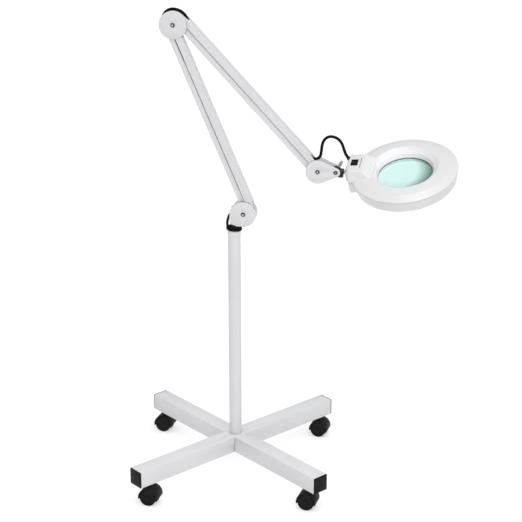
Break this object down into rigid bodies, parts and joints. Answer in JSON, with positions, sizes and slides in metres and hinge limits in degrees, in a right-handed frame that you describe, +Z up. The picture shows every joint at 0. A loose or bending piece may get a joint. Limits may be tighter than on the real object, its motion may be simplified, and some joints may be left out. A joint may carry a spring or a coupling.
{
  "type": "magnifying lamp",
  "caption": "Rolling floor-stand magnifying lamp: a cross base on castors, a post, a sprung parallelogram arm and a round lit lens head.",
  "frame": {"origin": "on the floor, on the post's axis", "axes": "+Z up the post; the arm folds in the XZ plane with the head towards +X"},
  "size_m": [0.7618, 0.4912, 1.1419],
  "materials": {
    "white_paint": "satin white powder coat",
    "white_plastic": "smooth moulded white",
    "black_plastic": "moulded black",
    "black_cord": "smooth black sheath",
    "lens_glass": "polished, faint green edge",
    "tube_glass": "milky coated tube",
    "dark_zinc": "dark cast zinc",
    "reflector_aluminium": "white painted sheet",
    "ballast_iron": "laminated iron",
    "spring_steel": "drawn wire",
    "bright_steel": "zinc plated"
  },
  "bodies": {
    "stand": {"through_beam": "white_paint", "cross_beam": "white_paint", "beam_end_caps": "black_plastic", "castor_sockets": "black_plastic", "post_tube": "white_paint", "post_bush": "white_plastic", "hub_bolt": "bright_steel", "mains_lead": "black_cord", "lead_coil": "black_cord", "mains_plug": "black_plastic"},
    "shoulder": {"shoulder_front_plate": "white_paint", "shoulder_back_plate": "white_paint", "shoulder_neck": "bright_steel", "shoulder_fasteners": "bright_steel"},
    "lower_outer": {"lower_outer_rail": "white_paint", "lower_spring": "spring_steel"},
    "lower_inner": {"lower_inner_rail": "white_paint"},
    "elbow": {"elbow_front_plate": "white_paint", "elbow_back_plate": "white_paint", "elbow_fasteners": "bright_steel", "elbow_cord": "black_cord"},
    "upper_outer": {"upper_outer_rail": "white_paint", "upper_spring": "spring_steel"},
    "upper_inner": {"upper_inner_rail": "white_paint"},
    "wrist": {"wrist_front_plate": "white_paint", "wrist_back_plate": "white_paint", "wrist_fasteners": "bright_steel", "head_cord": "black_cord"},
    "tilt_lever": {"tilt_lever": "bright_steel"},
    "knuckle": {"knuckle": "dark_zinc"},
    "head": {"head_upper_shell": "white_plastic", "head_lower_shell": "white_plastic", "lens": "lens_glass", "lens_ring": "white_plastic", "circular_tube": "tube_glass", "tube_base": "white_plastic", "tube_clips": "spring_steel", "reflector": "reflector_aluminium", "ballast": "ballast_iron", "switch_frame": "black_plastic", "head_stem": "bright_steel", "shell_screws": "bright_steel", "cord_grommet": "black_plastic"},
    "rocker": {"switch_rocker": "black_plastic"},
    "castor_front_left": {"castor_body_front_left": "black_plastic", "castor_pins_front_left": "bright_steel"},
    "wheel_front_left_front": {"castor_wheel_front_left_front": "black_plastic"},
    "wheel_front_left_back": {"castor_wheel_front_left_back": "black_plastic"},
    "castor_front_right": {"castor_body_front_right": "black_plastic", "castor_pins_front_right": "bright_steel"},
    "wheel_front_right_front": {"castor_wheel_front_right_front": "black_plastic"},
    "wheel_front_right_back": {"castor_wheel_front_right_back": "black_plastic"},
    "castor_back_right": {"castor_body_back_right": "black_plastic", "castor_pins_back_right": "bright_steel"},
    "wheel_back_right_front": {"castor_wheel_back_right_front": "black_plastic"},
    "wheel_back_right_back": {"castor_wheel_back_right_back": "black_plastic"},
    "castor_back_left": {"castor_body_back_left": "black_plastic", "castor_pins_back_left": "bright_steel"},
    "wheel_back_left_front": {"castor_wheel_back_left_front": "black_plastic"},
    "wheel_back_left_back": {"castor_wheel_back_left_back": "black_plastic"}
  },
  "joints": [
    {"name": "arm_swivel", "type": "hinge", "parent": "stand", "child": "shoulder", "pos_m": [0, 0, 0.62], "axis": [0, 0, 1], "range_deg": [-170, 170], "deforming": ["mains_lead"]},
    {"name": "lower_arm", "type": "hinge", "parent": "shoulder", "child": "lower_inner", "pos_m": [0.02682, 0, 0.67795], "axis": [0, 1, 0], "range_deg": [-12, 88], "deforming": ["elbow_cord", "mains_lead"]},
    {"name": "lower_arm_outer", "type": "hinge", "parent": "shoulder", "child": "lower_outer", "pos_m": [0.0441, 0, 0.6729], "axis": [0, 1, 0], "range_deg": [-12, 88], "deforming": ["elbow_cord"]},
    {"name": "elbow", "type": "hinge", "parent": "lower_inner", "child": "elbow", "pos_m": [-0.14803, 0, 1.09801], "axis": [0, 1, 0], "range_deg": [-88, 12], "deforming": ["elbow_cord"]},
    {"name": "upper_arm", "type": "hinge", "parent": "elbow", "child": "upper_outer", "pos_m": [-0.11895, 0, 1.12616], "axis": [0, 1, 0], "range_deg": [-95, 6], "deforming": ["elbow_cord", "head_cord"]},
    {"name": "upper_arm_inner", "type": "hinge", "parent": "elbow", "child": "upper_inner", "pos_m": [-0.12162, 0, 1.10836], "axis": [0, 1, 0], "range_deg": [-95, 6]},
    {"name": "wrist", "type": "hinge", "parent": "upper_outer", "child": "wrist", "pos_m": [0.18902, 0, 0.79124], "axis": [0, 1, 0], "range_deg": [-6, 95], "deforming": ["head_cord"]},
    {"name": "head_tilt", "type": "hinge", "parent": "wrist", "child": "knuckle", "pos_m": [0.23782, 0, 0.77494], "axis": [0, 1, 0], "range_deg": [-75, 60], "deforming": ["head_cord"]},
    {"name": "head_roll", "type": "hinge", "parent": "knuckle", "child": "head", "pos_m": [0.23782, 0, 0.77494], "axis": [0.9945, 0, -0.1045], "range_deg": [-90, 60], "deforming": ["head_cord"]},
    {"name": "tilt_lever_turn", "type": "hinge", "parent": "wrist", "child": "tilt_lever", "pos_m": [0.23782, 0, 0.77494], "axis": [0, 1, 0], "range_deg": [-60, 60]},
    {"name": "switch_rock", "type": "hinge", "parent": "head", "child": "rocker", "pos_m": [0.28033, -0.00745, 0.79838], "axis": [0.9873, -0.1308, 0.0907], "range_deg": [0, 22]},
    {"name": "castor_swivel_front_left", "type": "hinge", "parent": "stand", "child": "castor_front_left", "pos_m": [-0.18042, -0.20755, 0.054], "axis": [0, 0, 1], "continuous": true},
    {"name": "roll_front_left_front", "type": "hinge", "parent": "castor_front_left", "child": "wheel_front_left_front", "pos_m": [-0.17254, -0.20893, 0.02], "axis": [0.1736, 0.9848, 0], "continuous": true},
    {"name": "roll_front_left_back", "type": "hinge", "parent": "castor_front_left", "child": "wheel_front_left_back", "pos_m": [-0.17254, -0.20893, 0.02], "axis": [0.1736, 0.9848, 0], "continuous": true},
    {"name": "castor_swivel_front_right", "type": "hinge", "parent": "stand", "child": "castor_front_right", "pos_m": [0.20755, -0.18042, 0.054], "axis": [0, 0, 1], "continuous": true},
    {"name": "roll_front_right_front", "type": "hinge", "parent": "castor_front_right", "child": "wheel_front_right_front", "pos_m": [0.19967, -0.17903, 0.02], "axis": [0.1736, 0.9848, 0], "continuous": true},
    {"name": "roll_front_right_back", "type": "hinge", "parent": "castor_front_right", "child": "wheel_front_right_back", "pos_m": [0.19967, -0.17903, 0.02], "axis": [0.1736, 0.9848, 0], "continuous": true},
    {"name": "castor_swivel_back_right", "type": "hinge", "parent": "stand", "child": "castor_back_right", "pos_m": [0.18042, 0.20755, 0.054], "axis": [0, 0, 1], "continuous": true},
    {"name": "roll_back_right_front", "type": "hinge", "parent": "castor_back_right", "child": "wheel_back_right_front", "pos_m": [0.18829, 0.20616, 0.02], "axis": [0.1736, 0.9848, 0], "continuous": true},
    {"name": "roll_back_right_back", "type": "hinge", "parent": "castor_back_right", "child": "wheel_back_right_back", "pos_m": [0.18829, 0.20616, 0.02], "axis": [0.1736, 0.9848, 0], "continuous": true},
    {"name": "castor_swivel_back_left", "type": "hinge", "parent": "stand", "child": "castor_back_left", "pos_m": [-0.20755, 0.18042, 0.054], "axis": [0, 0, 1], "continuous": true},
    {"name": "roll_back_left_front", "type": "hinge", "parent": "castor_back_left", "child": "wheel_back_left_front", "pos_m": [-0.21542, 0.1818, 0.02], "axis": [0.1736, 0.9848, 0], "continuous": true},
    {"name": "roll_back_left_back", "type": "hinge", "parent": "castor_back_left", "child": "wheel_back_left_back", "pos_m": [-0.21542, 0.1818, 0.02], "axis": [0.1736, 0.9848, 0], "continuous": true}
  ],
  "couplings": [
    {"joint": "lower_arm_outer", "follows": "lower_arm", "ratio": 1},
    {"joint": "elbow", "follows": "lower_arm", "ratio": -1},
    {"joint": "upper_arm_inner", "follows": "upper_arm", "ratio": 1},
    {"joint": "wrist", "follows": "upper_arm", "ratio": -1}
  ]
}
